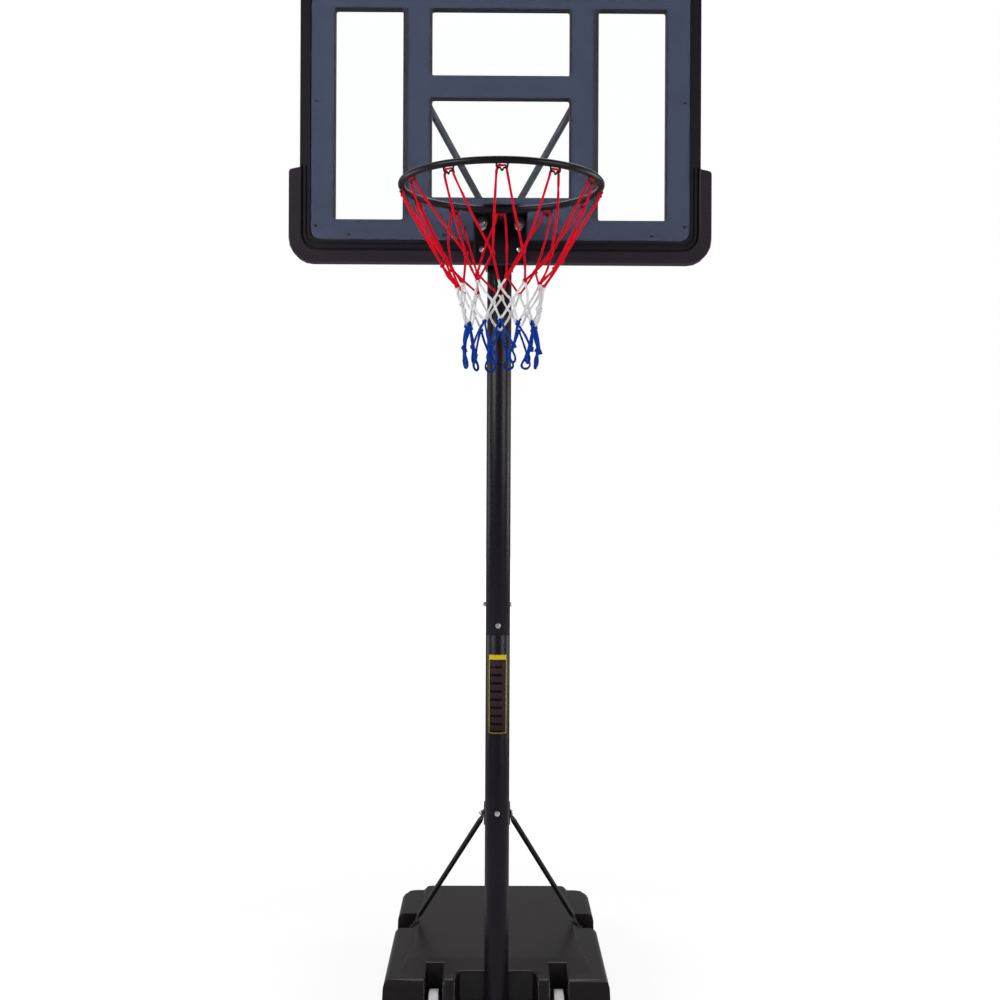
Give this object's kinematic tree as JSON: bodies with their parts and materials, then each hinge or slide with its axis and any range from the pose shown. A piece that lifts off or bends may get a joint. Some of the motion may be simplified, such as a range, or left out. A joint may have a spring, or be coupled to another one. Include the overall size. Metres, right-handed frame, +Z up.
{
  "type": "basketball stand",
  "caption": "Portable basketball stand: wheeled ballast tank, strutted telescoping black pole, clear board with slate border in a moulded frame, sprung rim, tricolour net.",
  "frame": {"origin": "on the floor, under the middle of the stand's length and width", "axes": "+Z up the pole; the rim faces -Y and the ballast tank lies towards +Y; +X to the right of a player facing the board"},
  "size_m": [1.113, 1.786, 2.94],
  "materials": {
    "blown_plastic": "fine blow-moulding grain, satin",
    "moulded_plastic": "fine moulded grain, satin",
    "smooth_plastic": "smooth, satin",
    "pale_plastic": "smooth, satin",
    "coated_steel": "powder coat, semi-gloss",
    "galvanised_steel": "galvanised",
    "zinc_plated_steel": "bright zinc plating",
    "spring_steel": "plated, bright",
    "clear_sheet": "clear, polished",
    "slate_print": "printed film, matt",
    "twine": "braided twine, dyed in bands"
  },
  "bodies": {
    "base": {"base_tank": "blown_plastic", "wheel_axle": "zinc_plated_steel", "lower_pole": "coated_steel", "pole_foot_plug": "smooth_plastic", "pole_sleeve_lower": "smooth_plastic", "inner_pole": "galvanised_steel", "strut_bracket": "coated_steel", "strut_left": "coated_steel", "strut_foot_bolt_left": "zinc_plated_steel", "strut_right": "coated_steel", "strut_foot_bolt_right": "zinc_plated_steel", "strut_bolt": "zinc_plated_steel", "strut_nut": "zinc_plated_steel", "bracket_bolt": "zinc_plated_steel", "bracket_nut": "zinc_plated_steel"},
    "head": {"upper_pole": "coated_steel", "pole_sleeve_upper": "smooth_plastic", "pole_cap": "smooth_plastic", "height_bolt_head": "zinc_plated_steel", "height_bolt_nut": "zinc_plated_steel", "board_frame": "moulded_plastic", "board_sheet": "clear_sheet", "border_print": "slate_print", "bottom_bumper": "moulded_plastic", "arm_left": "coated_steel", "arm_right": "coated_steel", "arm_bolt": "zinc_plated_steel", "arm_nut": "zinc_plated_steel", "v_bar_left": "coated_steel", "v_bar_screw_left": "zinc_plated_steel", "v_bar_right": "coated_steel", "v_bar_screw_right": "zinc_plated_steel", "v_bar_bolt": "zinc_plated_steel", "v_bar_nut": "zinc_plated_steel", "rim_back_plate": "coated_steel", "rim_bolt_upper_left": "zinc_plated_steel", "rim_nut_upper_left": "zinc_plated_steel", "rim_bolt_lower_left": "zinc_plated_steel", "rim_nut_lower_left": "zinc_plated_steel", "rim_washer_left": "zinc_plated_steel", "rim_bolt_upper_right": "zinc_plated_steel", "rim_nut_upper_right": "zinc_plated_steel", "rim_bolt_lower_right": "zinc_plated_steel", "rim_nut_lower_right": "zinc_plated_steel", "rim_washer_right": "zinc_plated_steel", "spring_left": "spring_steel", "spring_right": "spring_steel"},
    "rim": {"rim_bracket": "coated_steel", "rim_ring": "coated_steel", "net": "twine"},
    "left_wheel": {"wheel_left": "pale_plastic"},
    "right_wheel": {"wheel_right": "pale_plastic"},
    "cap": {"filler_cap": "smooth_plastic"},
    "clamp": {"clamp_screw": "zinc_plated_steel"}
  },
  "joints": [
    {"name": "height_slide", "type": "slide", "parent": "base", "child": "head", "axis": [0, 0, 1], "range_m": [0, 0.75]},
    {"name": "rim_flex", "type": "hinge", "parent": "head", "child": "rim", "pos_m": [0, -0.2816, 2.184], "axis": [1, 0, 0], "range_deg": [0, 4], "stiffness_Nm_per_rad": 350, "springref_deg": -5.73, "deforming": ["spring_left", "spring_right"]},
    {"name": "wheel_left_spin", "type": "hinge", "parent": "base", "child": "left_wheel", "pos_m": [-0.18, 0.033, 0.08], "axis": [1, 0, 0], "continuous": true},
    {"name": "wheel_right_spin", "type": "hinge", "parent": "base", "child": "right_wheel", "pos_m": [0.18, 0.033, 0.08], "axis": [1, 0, 0], "continuous": true},
    {"name": "cap_lift", "type": "slide", "parent": "base", "child": "cap", "axis": [0, 0, 1], "range_m": [0, 0.035]},
    {"name": "clamp_turn", "type": "hinge", "parent": "head", "child": "clamp", "pos_m": [0, -0.002, 1.204], "axis": [0, -1, 0], "range_deg": [0, 360]}
  ]
}
